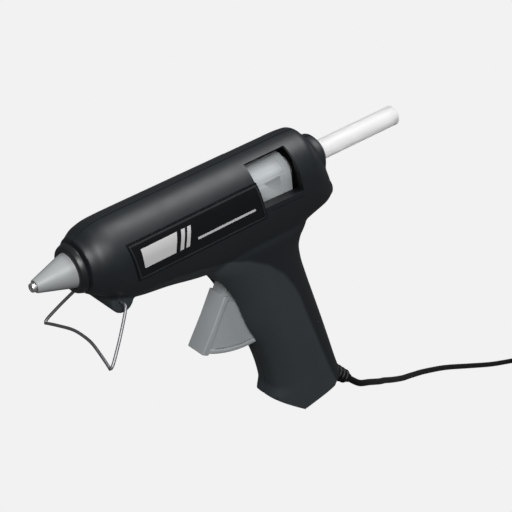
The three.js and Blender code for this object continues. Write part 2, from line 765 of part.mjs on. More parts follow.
CLAMP_POSTS.forEach((spot, i) => place(`clamp_screw_${i + 1}`, 'steel', clampScrew(spot)));
place('strain_relief', 'rubber', strainRelief());

// The gun is set down with its lowest point on the floor and its box centred on the origin.
gun.updateMatrixWorld(true);
const box = new THREE.Box3().setFromObject(gun, true);
gun.position.set(-(box.min.x + box.max.x) / 2, -(box.min.y + box.max.y) / 2, -box.min.z);
gun.updateMatrixWorld(true);

const glueGun = new THREE.Group();
glueGun.add(gun);
const [endX, endZ] = alongRelief(RELIEF_LENGTH);
const reliefEnd = new THREE.Vector3(endX, 0, endZ).applyMatrix4(gun.matrixWorld);
const reliefHeading = RELIEF_DIRECTION.clone().transformDirection(gun.matrixWorld);
place('cord', 'rubber', cordTube(cordRoute(reliefEnd, reliefHeading)), glueGun);
place('cord_coil', 'rubber', coilSolid(0), glueGun);
place('cord_tail', 'rubber', cordTail(), glueGun);
place('plug_body', 'rubber', plugBody(), glueGun);
place('plug_pin_1', 'steel', plugPin(-1), glueGun);
place('plug_pin_2', 'steel', plugPin(1), glueGun);

export default glueGun;
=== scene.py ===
# Looks for a hobby hot-melt glue gun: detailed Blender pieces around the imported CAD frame.
#
# The gun's own pieces are drawn in its "gun frame", in millimetres: x runs back from the nozzle
# tip along the barrel axis, z up from that axis, y towards the gun's right side. gun_matrix()
# takes them to the row's frame in metres. The free cord is drawn in the row's frame.
import json
import math

import bmesh
import bpy
import numpy as np
from mathutils import Matrix, Vector


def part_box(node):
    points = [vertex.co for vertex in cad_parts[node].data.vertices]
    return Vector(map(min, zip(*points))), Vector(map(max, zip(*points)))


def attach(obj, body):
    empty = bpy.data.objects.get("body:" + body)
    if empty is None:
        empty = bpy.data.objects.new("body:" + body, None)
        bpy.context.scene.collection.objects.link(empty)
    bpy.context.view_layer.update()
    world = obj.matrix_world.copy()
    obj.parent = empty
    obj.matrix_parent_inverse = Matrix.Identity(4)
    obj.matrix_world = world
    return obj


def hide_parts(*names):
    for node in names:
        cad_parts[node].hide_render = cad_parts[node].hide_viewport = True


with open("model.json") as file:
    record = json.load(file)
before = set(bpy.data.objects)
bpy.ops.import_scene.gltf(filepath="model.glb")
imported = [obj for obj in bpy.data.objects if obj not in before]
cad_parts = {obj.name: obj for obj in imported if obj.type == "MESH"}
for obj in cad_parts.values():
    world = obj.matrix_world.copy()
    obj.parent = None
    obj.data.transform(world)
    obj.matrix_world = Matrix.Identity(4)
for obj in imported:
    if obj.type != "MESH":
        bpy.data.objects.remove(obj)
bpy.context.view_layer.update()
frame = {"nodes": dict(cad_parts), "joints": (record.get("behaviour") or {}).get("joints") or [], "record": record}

MM = 0.001
JOINTS = {joint["name"]: joint for joint in frame["joints"]}

# ------------------------------------------------------------------ driving dimensions, mm
PIVOT = (132.0, -32.0)  # the trigger's hinge, x and z
STAND_PIVOT = (45, -23.7)
STAND_FOOT = (22.3, -47.2)
WIRE_RADIUS = 0.9
WALL = 2.4
CORD_RADIUS = 2.0
STICK_RADIUS = 5.75
STICK_START, STICK_END = 95, 250
RELIEF_ROOT = Vector((188, 0, -146))
RELIEF_HEADING = Vector((0.71, 0, -0.70)).normalized()
RELIEF_LENGTH = 22.5
DEGREE = math.radians(1)
TRIGGER_FRONT = 57.5 * DEGREE  # its front face, turned down about the hinge from straight ahead
TRIGGER_BACK = 100 * DEGREE

# Barrel sections: x, top, bottom, half width, height of the widest point.
BARREL = [
    (28.6, 16.2, -14.8, 15.6, 0), (36, 19.7, -18.6, 19, 0), (45, 21.4, -24, 20.4, 0),
    (56, 21.7, -29.3, 20.4, 0), (78, 21.7, -33.2, 20.2, 0), (100, 21.7, -38, 20, 0),
    (120, 21.7, -40.5, 19.7, 0), (150, 21.7, -40.5, 19.5, 0), (168, 21.7, -36.5, 19.1, 0),
    (177, 21.3, -33.5, 18.4, -1), (183, 15, -31.6, 17, -7), (190, 0.5, -29.6, 14, -14),
    (195.5, -14.5, -26.8, 9.8, -20.5),
]

# Handle sections: z, front, rear, half width.
HANDLE = [
    (-22, 112, 172, 14), (-32, 103, 176.5, 17.4), (-38, 105, 172, 17.2),
    (-46, 111.5, 169.4, 16.8), (-54, 116.5, 170.1, 16.4), (-64, 121, 172.3, 16),
    (-83, 126.7, 177.2, 15.4), (-93, 131, 179.8, 15.1), (-103, 135.4, 182.3, 14.9),
    (-118, 139.9, 186, 14.6), (-128, 141.8, 188.4, 14.4), (-134, 142.4, 189.9, 14.3),
    (-140, 140.4, 191.6, 14.2), (-158, 139.4, 196, 14.2),
]

# The foot's underside in the side view, x and z, run on past the handle at both ends.
FOOT = [(115.8, -120.7), (145.8, -143.8), (159.5, -154.35), (183.5, -150), (192.5, -141.5), (230, -104)]
SCREWS = [(53, -21), (100, -28), (176, -20), (163, -66), (154.8, -136)]
LABEL = [(50, 11), (137, 11), (141, -12), (54, -12)]

# The upper edge of the matt grip area in the side view.
GRIP_EDGE = [
    (20, -19), (54, -22.2), (89.7, -25), (113.2, -29.7), (127.5, -34.4), (141.4, -43.8),
    (151.3, -54.4), (157.7, -65.1), (161.8, -74.6), (167, -92), (172, -108), (179, -130),
    (190, -160),
]


def gun_matrix():
    """Gun frame in metres to the row's frame: the pitch is the stick's way, the pivot is known."""
    forward = Vector(JOINTS["stick_feed"]["axis"])
    pitch = math.atan2(-forward.z, -forward.x)
    turn = Matrix.Rotation(-pitch, 4, "Y")
    hinge = Vector(JOINTS["trigger_pull"]["pos_m"])
    drawn = turn @ Vector((PIVOT[0] * MM, 0, PIVOT[1] * MM))
    return Matrix.Translation(hinge - drawn) @ turn


GUN = gun_matrix()


# ------------------------------------------------------------------ mesh helpers
def new_object(name, mesh):
    piece = bpy.data.objects.new(name, mesh)
    bpy.context.scene.collection.objects.link(piece)
    return piece


def mesh_of(name, points, faces):
    """A mesh from gun-frame points in millimetres, with its faces turned outwards."""
    mesh = bpy.data.meshes.new(name)
    mesh.from_pydata([tuple(value * MM for value in point) for point in points], [], faces)
    bm = bmesh.new()
    bm.from_mesh(mesh)
    bmesh.ops.remove_doubles(bm, verts=bm.verts, dist=1e-7)
    bmesh.ops.recalc_face_normals(bm, faces=bm.faces)
    bm.to_mesh(mesh)
    bm.free()
    return new_object(name, mesh)


def loft(name, rings):
    count = len(rings[0])
    points = [point for ring in rings for point in ring]
    faces = []
    for r in range(len(rings) - 1):
        for k in range(count):
            after = (k + 1) % count
            low, high = r * count, (r + 1) * count
            faces.append((low + k, low + after, high + after, high + k))
    faces.append(tuple(range(count)))
    faces.append(tuple((len(rings) - 1) * count + k for k in range(count)))
    return mesh_of(name, points, faces)


def turned(name, profile, segments=96):
    """A closed [x, radius] profile turned about the barrel axis."""
    points = []
    for k in range(segments):
        angle = 2 * math.pi * k / segments
        points += [(x, radius * math.cos(angle), radius * math.sin(angle)) for x, radius in profile]
    count = len(profile)
    faces = []
    for k in range(segments):
        after = (k + 1) % segments
        for i in range(count):
            j = (i + 1) % count
            if profile[i][1] > 0 or profile[j][1] > 0:
                faces.append((k * count + i, k * count + j, after * count + j, after * count + i))
    return clean(mesh_of(name, points, faces))


def clean(piece):
    """Drops the collapsed faces that a profile touching its axis leaves."""
    bm = bmesh.new()
    bm.from_mesh(piece.data)
    bmesh.ops.dissolve_degenerate(bm, dist=1e-7, edges=bm.edges)
    bmesh.ops.recalc_face_normals(bm, faces=bm.faces)
    bm.to_mesh(piece.data)
    bm.free()
    return piece


def slab(name, outline, y0, y1):
    """An [x, z] outline drawn across the gun from y0 to y1."""
    return loft(name, [[(x, y, z) for x, z in outline] for y in (y0, y1)])


def block(name, x0, x1, y0, y1, z0, z1):
    return slab(name, [(x0, z0), (x1, z0), (x1, z1), (x0, z1)], y0, y1)


def rod(name, x, z, radius, y0, y1, segments=48):
    """A round rod across the gun."""
    ring = [2 * math.pi * k / segments for k in range(segments)]
    return slab(name, [(x + radius * math.cos(a), z + radius * math.sin(a)) for a in ring], y0, y1)


def apply_modifiers(piece):
    depsgraph = bpy.context.evaluated_depsgraph_get()
    mesh = bpy.data.meshes.new_from_object(piece.evaluated_get(depsgraph))
    piece.modifiers.clear()
    old = piece.data
    piece.data = mesh
    bpy.data.meshes.remove(old)
    return piece


def boolean(piece, operation, *tools):
    """Applies a boolean with each tool in turn, and throws the tools away."""
    for tool in tools:
        step = piece.modifiers.new("boolean", "BOOLEAN")
        step.operation = operation
        step.solver = "MANIFOLD"
        step.object = tool
        apply_modifiers(piece)
        bpy.data.objects.remove(tool)
    return piece


def cut(piece, *tools):
    return boolean(piece, "DIFFERENCE", *tools)


def join(piece, *tools):
    return boolean(piece, "UNION", *tools)


def keep(piece, tool):
    return boolean(piece, "INTERSECT", tool)


def copy_of(piece, name):
    twin = piece.copy()
    twin.data = piece.data.copy()
    twin.name = name
    bpy.context.scene.collection.objects.link(twin)
    return twin


def bevelled(piece, width, segments=3, angle=35):
    step = piece.modifiers.new("bevel", "BEVEL")
    step.width = width * MM
    step.segments = segments
    step.limit_method = "ANGLE"
    step.angle_limit = math.radians(angle)
    step.use_clamp_overlap = True
    return apply_modifiers(piece)


def shaded(piece, angle=38):
    piece.data.polygons.foreach_set("use_smooth", [True] * len(piece.data.polygons))
    piece.data.set_sharp_from_angle(angle=math.radians(angle))
    return piece


def settle(piece, name, body, material, replaces=()):
    piece.name = name
    piece.data.name = name
    piece.data.transform(GUN)
    piece.data.materials.clear()
    piece.data.materials.append(material)
    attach(piece, body)
    if replaces:
        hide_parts(*replaces)
    return piece


# ------------------------------------------------------------------ material helpers
class Surface:
    """A principled material with short calls for the procedural nodes that it needs."""

    def __init__(self, name, **values):
        self.material = bpy.data.materials.new(name)
        self.material.use_nodes = True
        self.nodes = self.material.node_tree.nodes
        self.links = self.material.node_tree.links
        self.shader = self.nodes["Principled BSDF"]
        for socket, value in values.items():
            self.shader.inputs[socket.replace("_", " ")].default_value = value
        self.place = self.nodes.new("ShaderNodeTexCoord").outputs["Object"]

    def noise(self, scale, detail=4.0, roughness=0.55, stretch=None):
        node = self.nodes.new("ShaderNodeTexNoise")
        node.inputs["Scale"].default_value = scale
        node.inputs["Detail"].default_value = detail
        node.inputs["Roughness"].default_value = roughness
        self.links.new(self.stretched(stretch), node.inputs["Vector"])
        return node.outputs["Fac"]

    def cells(self, scale):
        node = self.nodes.new("ShaderNodeTexVoronoi")
        node.inputs["Scale"].default_value = scale
        self.links.new(self.place, node.inputs["Vector"])
        return node.outputs["Distance"]

    def stretched(self, stretch):
        if stretch is None:
            return self.place
        node = self.nodes.new("ShaderNodeMapping")
        node.inputs["Scale"].default_value = stretch
        self.links.new(self.place, node.inputs["Vector"])
        return node.outputs["Vector"]

    def attribute(self, name):
        node = self.nodes.new("ShaderNodeAttribute")
        node.attribute_name = name
        return node.outputs["Fac"]

    def mapped(self, value, low, high, to_low, to_high):
        node = self.nodes.new("ShaderNodeMapRange")
        sockets = ("From Min", "From Max", "To Min", "To Max")
        for socket, number in zip(sockets, (low, high, to_low, to_high)):
            node.inputs[socket].default_value = number
        self.links.new(value, node.inputs["Value"])
        return node.outputs["Result"]

    def math(self, operation, first, second):
        node = self.nodes.new("ShaderNodeMath")
        node.operation = operation
        for socket, value in zip(node.inputs, (first, second)):
            if isinstance(value, (int, float)):
                socket.default_value = value
            else:
                self.links.new(value, socket)
        return node.outputs[0]

    def colour(self, factor, first, second):
        node = self.nodes.new("ShaderNodeMix")
        node.data_type = "RGBA"
        for socket, value in ((node.inputs[6], first), (node.inputs[7], second)):
            if isinstance(value, tuple):
                socket.default_value = value
            else:
                self.links.new(value, socket)
        self.links.new(factor, node.inputs[0])
        return node.outputs[2]

    def wire(self, value, socket):
        self.links.new(value, self.shader.inputs[socket])

    def bump(self, *layers):
        """Each layer is a height, a strength and a distance in metres; later ones lie on earlier."""
        previous = None
        for height, strength, distance in layers:
            node = self.nodes.new("ShaderNodeBump")
            node.inputs["Strength"].default_value = strength
            node.inputs["Distance"].default_value = distance
            self.links.new(height, node.inputs["Height"])
            if previous is not None:
                self.links.new(previous, node.inputs["Normal"])
            previous = node.outputs["Normal"]
        self.wire(previous, "Normal")


def grey(value, tint=1.0):
    return (value, value, value * tint, 1.0)


def housing_plastic():
    """Black spark-eroded plastic: satin on the barrel, coarser and paler on the grip area, with painted shade on
    the window reveals.
    """
    surface = Surface("housing_plastic", Specular_IOR_Level=0.42)
    grip = surface.attribute("grip")
    fine = surface.noise(5200, 3)
    cloud = surface.noise(38, 4)
    scuff = surface.noise(160, 5, 0.7, (1.0, 0.3, 1.0))
    barrel = surface.colour(cloud, (0.0075, 0.0098, 0.0115, 1), (0.011, 0.0135, 0.0155, 1))
    handle = surface.colour(cloud, (0.023, 0.0295, 0.0325, 1), (0.0285, 0.0355, 0.0385, 1))
    outside = surface.colour(grip, barrel, handle)
    # Inside the wall around the windows the colour is painted near black: painted shade on the reveals.
    surface.wire(surface.colour(surface.attribute("inside"), outside, grey(0.0012)), "Base Color")
    satin = surface.mapped(scuff, 0.3, 0.75, 0.42, 0.5)
    matt = surface.mapped(scuff, 0.3, 0.75, 0.58, 0.68)
    gap = surface.math("SUBTRACT", matt, satin)
    surface.wire(surface.math("ADD", satin, surface.math("MULTIPLY", gap, grip)), "Roughness")
    surface.bump((cloud, 0.05, 0.0004), (surface.cells(2600), 0.06, 0.00005), (fine, 0.12, 0.00003))
    return surface.material


def smooth_plastic(name, dark, light, roughness, grain=4200):
    surface = Surface(name, Specular_IOR_Level=0.45)
    cloud = surface.noise(60, 4)
    surface.wire(surface.colour(cloud, dark, light), "Base Color")
    wear = surface.noise(300, 5, 0.65)
    surface.wire(surface.mapped(wear, 0.3, 0.75, roughness, roughness + 0.1), "Roughness")
    surface.bump((cloud, 0.04, 0.0003), (surface.noise(grain, 3), 0.08, 0.00003))
    return surface.material


def metal(name, dark, light, roughness, streaks=(1.0, 1.0, 1.0), grain=0.1):
    surface = Surface(name, Metallic=1.0)
    drawn = surface.noise(900, 4, 0.6, streaks)
    cloud = surface.noise(90, 4)
    surface.wire(surface.colour(cloud, dark, light), "Base Color")
    surface.wire(surface.mapped(drawn, 0.3, 0.7, roughness, roughness + 0.16), "Roughness")
    surface.bump((drawn, grain, 0.00003))
    return surface.material


def rubber():
    surface = Surface("cord_rubber", Specular_IOR_Level=0.25)
    cloud = surface.noise(120, 4)
    dark, light = (0.0018, 0.0018, 0.002, 1), (0.0035, 0.0035, 0.004, 1)
    surface.wire(surface.colour(cloud, dark, light), "Base Color")
    surface.wire(surface.mapped(surface.noise(420, 4), 0.3, 0.7, 0.42, 0.55), "Roughness")
    surface.bump((surface.noise(2600, 3), 0.12, 0.00004))
    return surface.material


def glue():
    """Milky, slightly translucent hot-melt glue with faint extrusion lines."""
    surface = Surface(
        "hot_melt_glue", Subsurface_Weight=0.3, Subsurface_Radius=(1.0, 1.0, 1.0),
        Subsurface_Scale=0.004, IOR=1.3, Specular_IOR_Level=0.5, Transmission_Weight=0.5,
    )
    cloud = surface.noise(70, 4)
    surface.wire(surface.colour(cloud, (0.7, 0.7, 0.7, 1), (0.77, 0.77, 0.77, 1)), "Base Color")
    surface.wire(surface.mapped(surface.noise(260, 4), 0.3, 0.7, 0.3, 0.42), "Roughness")
    surface.bump((surface.noise(120, 3, 0.5, (0.15, 1.0, 1.0)), 0.05, 0.0001))
    return surface.material


def plastic(name, dark, light, roughness, grain=4200):
    """A smooth plastic between two opaque colours."""
    return smooth_plastic(name, (*dark, 1), (*light, 1), roughness, grain)


MATERIALS = {
    "housing": housing_plastic(),
    "collar": plastic("collar_plastic", (0.0075, 0.0085, 0.0095), (0.013, 0.0142, 0.0155), 0.3),
    "label": plastic("label_inlay", (0.0022, 0.0028, 0.0035), (0.0042, 0.005, 0.006), 0.22, 6000),
    "border": plastic("label_border", (0.011, 0.013, 0.0145), (0.018, 0.02, 0.0215), 0.3),
    "mark": smooth_plastic("silver_print", grey(0.43), grey(0.5), 0.38),
    "trigger": plastic("trigger_plastic", (0.29, 0.31, 0.318), (0.335, 0.355, 0.362), 0.4),
    "silicone": plastic("nozzle_silicone", (0.25, 0.262, 0.265), (0.3, 0.313, 0.317), 0.4, 3000),
    "rubber": rubber(),
    "steel": metal("drawn_steel", grey(0.3, 1.04), grey(0.42, 1.03), 0.26),
    "wire": metal("stand_wire", grey(0.26, 1.05), grey(0.38, 1.04), 0.45),
    "nozzle": metal("nickel_plate", grey(0.74), grey(0.84, 0.99), 0.28),
    "aluminium": metal("cast_aluminium", grey(0.5, 1.02), grey(0.62, 1.02), 0.42, grain=0.3),
    "ceramic": plastic("heater_ceramic", (0.6, 0.55, 0.46), (0.7, 0.65, 0.56), 0.6, 2500),
    "film": plastic("amber_film", (0.42, 0.19, 0.02), (0.52, 0.26, 0.04), 0.2),
    "glue": glue(),
    "seal": plastic("red_silicone", (0.2, 0.035, 0.025), (0.28, 0.055, 0.04), 0.5),
    "white_plastic": plastic("white_polyamide", (0.6, 0.6, 0.57), (0.7, 0.7, 0.67), 0.42),
}


# ------------------------------------------------------------------ camera, floor and light
AIM = Vector((0, 0, 0.08))
AZIMUTH = math.radians(-45.906)
ELEVATION = math.radians(7.0)
ROLL = math.radians(24.379)
DISTANCE = 1.221
SHIFT_Y = -0.02275
SHIFT_X = 0.02625
LENS = 154.7
PAPER = (0.887, 0.887, 0.887, 1)  # what the camera sees behind and under the gun
FLOOR_REACH = 6.0


def place_camera():
    outwards = math.cos(ELEVATION)
    towards = Vector((math.sin(AZIMUTH) * outwards, -math.cos(AZIMUTH) * outwards, math.sin(ELEVATION)))
    level = Vector((math.cos(AZIMUTH), math.sin(AZIMUTH), 0))
    upright = towards.cross(level)
    right = math.cos(ROLL) * level + math.sin(ROLL) * upright
    up = towards.cross(right)
    data = bpy.data.cameras.new("camera")
    data.lens = LENS
    data.sensor_width = 36
    data.shift_x = SHIFT_X
    data.shift_y = SHIFT_Y
    data.clip_start = 0.05
    camera = bpy.data.objects.new("camera", data)
    bpy.context.scene.collection.objects.link(camera)
    basis = Matrix((right, up, towards)).transposed().to_4x4()
    camera.matrix_world = Matrix.Translation(AIM + towards * DISTANCE) @ basis
    bpy.context.scene.camera = camera


def area_light(name, place, target, size, power):
    data = bpy.data.lights.new(name, "AREA")
    data.shape = "RECTANGLE"
    data.size = size[0]
    data.size_y = size[1]
    data.energy = power
    light = bpy.data.objects.new(name, data)
    bpy.context.scene.collection.objects.link(light)
    light.location = place
    light.rotation_euler = (Vector(target) - Vector(place)).to_track_quat("-Z", "Y").to_euler()


def studio_world():
    """Dim grey light from all round; the camera, and rays through the glue, see PAPER."""
    world = bpy.data.worlds.new("studio")
    bpy.context.scene.world = world
    world.use_nodes = True
    nodes, links = world.node_tree.nodes, world.node_tree.links
    ray = nodes.new("ShaderNodeLightPath")
    mix = nodes.new("ShaderNodeMix")
    mix.data_type = "RGBA"
    mix.inputs[6].default_value = (0.1, 0.1, 0.102, 1)
    mix.inputs[7].default_value = PAPER
    seen = nodes.new("ShaderNodeMath")
    seen.operation = "MAXIMUM"
    links.new(ray.outputs["Is Camera Ray"], seen.inputs[0])
    links.new(ray.outputs["Is Transmission Ray"], seen.inputs[1])
    links.new(seen.outputs[0], mix.inputs[0])
    links.new(mix.outputs[2], nodes["Background"].inputs["Color"])


def paper_floor():
    mesh = bpy.data.meshes.new("floor")
    corners = [(x * FLOOR_REACH, y * FLOOR_REACH, 0) for x, y in ((-1, -1), (1, -1), (1, 1), (-1, 1))]
    mesh.from_pydata(corners, [], [(0, 1, 2, 3)])
    floor = new_object("floor", mesh)
    surface = Surface(
        "floor_paper", Base_Color=(0, 0, 0, 1), Roughness=1.0, Specular_IOR_Level=0.0,
        Emission_Color=PAPER, Emission_Strength=1.0,
    )
    floor.data.materials.append(surface.material)
    floor.visible_glossy = False
    floor.visible_diffuse = False


def stage():
    bpy.context.scene.view_settings.view_transform = "Standard"
    studio_world()
    paper_floor()
    area_light("key", (-0.12, -0.2, 1.2), (0, 0, 0.1), (0.9, 0.45), 12)
    area_light("fill", (-0.95, -0.85, 0.5), (0, 0, 0.08), (0.7, 0.7), 19)


# ------------------------------------------------------------------ the free cord, in the row's frame
COIL = {"x": 0.693, "y": 0.272, "radii": (0.028, 0.024, 0.020)}
CORD_LIE = 0.0021
CORD_DIAMETER = 2 * CORD_RADIUS * MM
TURN_STEPS = 36


def relief_frame():
    """The strain relief's outer end and its heading, in the row's frame."""
    end = (RELIEF_ROOT + RELIEF_HEADING * RELIEF_LENGTH) * MM
    return GUN @ end, (GUN.to_3x3() @ RELIEF_HEADING).normalized()


def coil_points():
    """Turns laid inwards on the floor and outwards on top, clockwise from above."""
    outer, middle, inner = COIL["radii"]
    turns = [(outer, 0), (middle, 0), (inner, 0), (middle, 1), (outer, 1)]
    start = math.atan2(0.89, -0.46)
    last_steps = round((start % (2 * math.pi)) / (2 * math.pi) * TURN_STEPS)
    points = []
    for number in range(len(turns) * TURN_STEPS + last_steps):
        turn, step = divmod(number, TURN_STEPS)
        radius, layer = turns[min(turn, len(turns) - 1)]
        next_radius, next_layer = turns[min(turn + 1, len(turns) - 1)]
        share = min(1.0, max(0.0, step / TURN_STEPS - 0.8) / 0.2)
        blend = share * share * (3 - 2 * share)
        reach = radius + (next_radius - radius) * blend
        angle = start - 2 * math.pi * number / TURN_STEPS
        height = CORD_LIE + (layer + (next_layer - layer) * blend) * CORD_DIAMETER
        x = COIL["x"] + reach * math.cos(angle)
        y = COIL["y"] + reach * math.sin(angle)
        points.append((x, y, height))
    return points


def cord_points():
    """Out of the relief, drooping to the floor and along it, round the coil and into the plug."""
    end, heading = relief_frame()
    free = [
        (0.161, 0.009, 0.0198), (0.194, 0.029, 0.017), (0.219, 0.046, 0.0144), (0.247, 0.064, 0.0115),
        (0.276, 0.083, 0.0086), (0.305, 0.102, 0.006), (0.332, 0.12, 0.004), (0.358, 0.1365, 0.0027),
        (0.384, 0.152, CORD_LIE), (0.414, 0.168, CORD_LIE), (0.441, 0.182, CORD_LIE),
        (0.468, 0.195, CORD_LIE), (0.519, 0.218, CORD_LIE), (0.578, 0.245, CORD_LIE),
        (0.63, 0.271, CORD_LIE),
    ]
    plug_x = COIL["x"] + COIL["radii"][0]
    drops = ((0.012, 0.0062), (0.024, 0.0067), (0.0337, 0.0068))
    tail = [(plug_x, COIL["y"] - back, height) for back, height in drops]
    return [end + heading * 0.0003, end + heading * 0.011] + free + coil_points() + tail


def smooth_path(points, spacing=0.003):
    """Even steps along a Catmull-Rom curve through the points."""
    control = [Vector(point) for point in points]
    control = [control[0]] + control + [control[-1]]
    dense = []
    for a, b, c, d in zip(control, control[1:], control[2:], control[3:]):
        for step in range(12):
            t = step / 12
            first = 2 * b + (c - a) * t
            second = (2 * a - 5 * b + 4 * c - d) * t ** 2
            third = (3 * b - a - 3 * c + d) * t ** 3
            dense.append(0.5 * (first + second + third))
    dense.append(control[-1])
    lengths = np.cumsum([0] + [(q - p).length for p, q in zip(dense, dense[1:])])
    count = int(lengths[-1] / spacing)
    coordinates = np.array(dense)
    at = np.linspace(0, lengths[-1], count)
    path = np.stack([np.interp(at, lengths, coordinates[:, axis]) for axis in range(3)], 1)
    return path, float(lengths[-1])


def tube_curve(name, path, radius, sides=6):
    data = bpy.data.curves.new(name, "CURVE")
    data.dimensions = "3D"
    data.bevel_depth = radius
    data.bevel_resolution = sides
    data.use_fill_caps = True
    spline = data.splines.new("POLY")
    spline.points.add(len(path) - 1)
    for point, place in zip(spline.points, path):
        point.co = (*place, 1)
    spline.use_smooth = True
    return new_object(name, data)


def plug():
    """A moulded two-pin mains plug lying flat, its back towards the coil."""
    low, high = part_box("plug_body")
    centre = (low + high) / 2
    half = (high - low) / 2
    rings = []
    stations = [
        (-1.0, 0.93, 0.9), (-0.985, 0.98, 0.97), (-0.95, 1, 1), (-0.2, 0.97, 0.98), (0.1, 0.86, 0.95),
        (0.4, 0.68, 0.88), (0.62, 0.5, 0.72), (0.64, 0.42, 0.62), (0.7, 0.42, 0.62), (0.72, 0.48, 0.7),
        (0.8, 0.46, 0.68), (0.82, 0.38, 0.58), (0.88, 0.38, 0.58), (0.9, 0.42, 0.62), (0.985, 0.34, 0.5),
        (1.0, 0.26, 0.42),
    ]
    for along, across, up in stations:
        ring = []
        for k in range(64):
            angle = 2 * math.pi * k / 64
            power = 0.55
            cosine, sine = math.cos(angle), math.sin(angle)
            x = centre.x + half.x * across * powered(cosine, power)
            z = centre.z + half.z * up * powered(sine, power)
            ring.append((x / MM, (centre.y + half.y * along) / MM, z / MM))
        rings.append(ring)
    body = shaded(bevelled(loft("plug", rings), 0.25, 2, 25))
    body.data.materials.append(MATERIALS["rubber"])
    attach(body, "gun")
    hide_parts("plug_body")
    pins = []
    for number in (1, 2):
        low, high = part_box(f"plug_pin_{number}")
        pins.append(plug_pin(number, low, high))
    return [body] + pins


def plug_pin(number, low, high):
    """A round pin with an insulated shoulder and a domed end."""
    radius = (high.x - low.x) / 2 / MM
    length = (high.y - low.y) / MM
    profile = [
        (0, 0), (0.25, radius * 0.5), (0.9, radius * 0.86), (1.8, radius * 0.97), (9, radius * 0.97),
        (9.3, radius), (length, radius), (length, 0),
    ]
    pin = turned("pin", profile, 32)
    middle = (low + high) / 2
    turn = Matrix.Rotation(math.pi / 2, 4, "Z")
    pin.data.transform(Matrix.Translation((middle.x, low.y, middle.z)) @ turn)
    pin = shaded(pin)
    pin.name = f"plug_pin_{number}_round"
    pin.data.materials.append(MATERIALS["nozzle"])
    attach(pin, "gun")
    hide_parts(f"plug_pin_{number}")
    return pin


def free_cord():
    path, length = smooth_path(cord_points())
    piece = tube_curve("mains_cord", path, CORD_DIAMETER / 2)
    piece.data.materials.append(MATERIALS["rubber"])
    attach(piece, "gun")
    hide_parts("cord", "cord_coil", "cord_tail")
    plug()


# ------------------------------------------------------------------ housing
def column(table, index, at):
    """One column of a section table at any station, without overshoot between its rows."""
    stations = [row[0] for row in table]
    values = [row[index] for row in table]
    for i in range(len(stations) - 1):
        low, high = stations[i], stations[i + 1]
        if min(low, high) <= at <= max(low, high):
            break
    slopes = []
    for k in (i, i + 1):
        before = (values[k] - values[k - 1]) / (stations[k] - stations[k - 1]) if k > 0 else 0
        after = 0
        if k + 1 < len(values):
            after = (values[k + 1] - values[k]) / (stations[k + 1] - stations[k])
        slopes.append(2 * before * after / (before + after) if before * after > 0 else 0)
    span = stations[i + 1] - stations[i]
    t = (at - stations[i]) / span
    return (
        values[i] * (1 + 2 * t) * (1 - t) ** 2 + slopes[0] * span * t * (1 - t) ** 2
        + values[i + 1] * t * t * (3 - 2 * t) + slopes[1] * span * t * t * (t - 1)
    )


def stations_of(table, spacing):
    """Table stations with evenly spaced ones put in between."""
    result = [table[0][0]]
    for a, b in zip(table, table[1:]):
        steps = max(1, round(abs(b[0] - a[0]) / spacing))
        result += [a[0] + (b[0] - a[0]) * (k + 1) / steps for k in range(steps)]
    return result


def powered(value, exponent):
    return math.copysign(abs(value) ** exponent, value)


def barrel_solid(name, grow, spacing=2.0, sides=120):
    rings = []
    for x in stations_of(BARREL, spacing):
        top, bottom, width, centre = (column(BARREL, index, x) for index in (1, 2, 3, 4))
        ring = []
        for k in range(sides):
            angle = 2 * math.pi * k / sides
            up = math.sin(angle)
            blend = min(1.0, max(0.0, -up / 0.25))
            power = 1 - 0.26 * blend * blend * (3 - 2 * blend)
            height = top + grow - centre if up > 0 else centre - bottom + grow
            across = (width + grow) * powered(math.cos(angle), power)
            ring.append((x, across, centre + height * powered(up, power)))
        rings.append(ring)
    return loft(name, rings)


def handle_solid(name, grow, spacing=2.5, sides=120):
    rings = []
    for z in stations_of(HANDLE, spacing):
        front, rear, width = (column(HANDLE, index, z) for index in (1, 2, 3))
        ring = []
        for k in range(sides):
            angle = 2 * math.pi * k / sides
            along = ((rear - front) / 2 + grow) * powered(math.cos(angle), 0.62)
            across = (width + grow) * powered(math.sin(angle), 0.62)
            ring.append(((front + rear) / 2 + along, across, z))
        rings.append(ring)
    return loft(name, rings)


def smoothstep(value):
    value = np.clip(value, 0, 1)
    return value * value * (3 - 2 * value)


def grip_share(points, width=2.2):
    """1 inside the matt grip area, 0 on the barrel, from gun-frame points in millimetres."""
    best = np.full(len(points), 1e9)
    side = np.zeros(len(points))
    flat = points[:, [0, 2]]
    for start, end in zip(GRIP_EDGE, GRIP_EDGE[1:]):
        a, b = np.array(start, float), np.array(end, float)
        along = b - a
        t = np.clip(((flat - a) @ along) / (along @ along), 0, 1)
        away = flat - a - t[:, None] * along
        distance = np.linalg.norm(away, axis=1)
        closer = distance < best
        best = np.where(closer, distance, best)
        turn = along[0] * away[:, 1] - along[1] * away[:, 0]
        side = np.where(closer, -np.sign(turn), side)
    return smoothstep(0.5 + best * side / width)


def painted_reveal_shade(points):
    """1 well inside the barrel's wall, 0 on its outside: where the window reveals get painted shade, near black.
    """
    along = (points[:, 0] > 120) & (points[:, 0] < 172) & (points[:, 2] > -13)
    out = np.hypot(points[:, 1] / 19.6, points[:, 2] / 21.7)
    return np.where(along, smoothstep((0.97 - out) / 0.12), 0)


def mark_points(piece, name, values):
    layer = piece.data.attributes.new(name, "FLOAT", "POINT")
    layer.data.foreach_set("value", values.astype(np.float32))


def coordinates(mesh):
    flat = np.zeros(len(mesh.vertices) * 3, np.float32)
    mesh.vertices.foreach_get("co", flat)
    return flat.reshape(-1, 3)


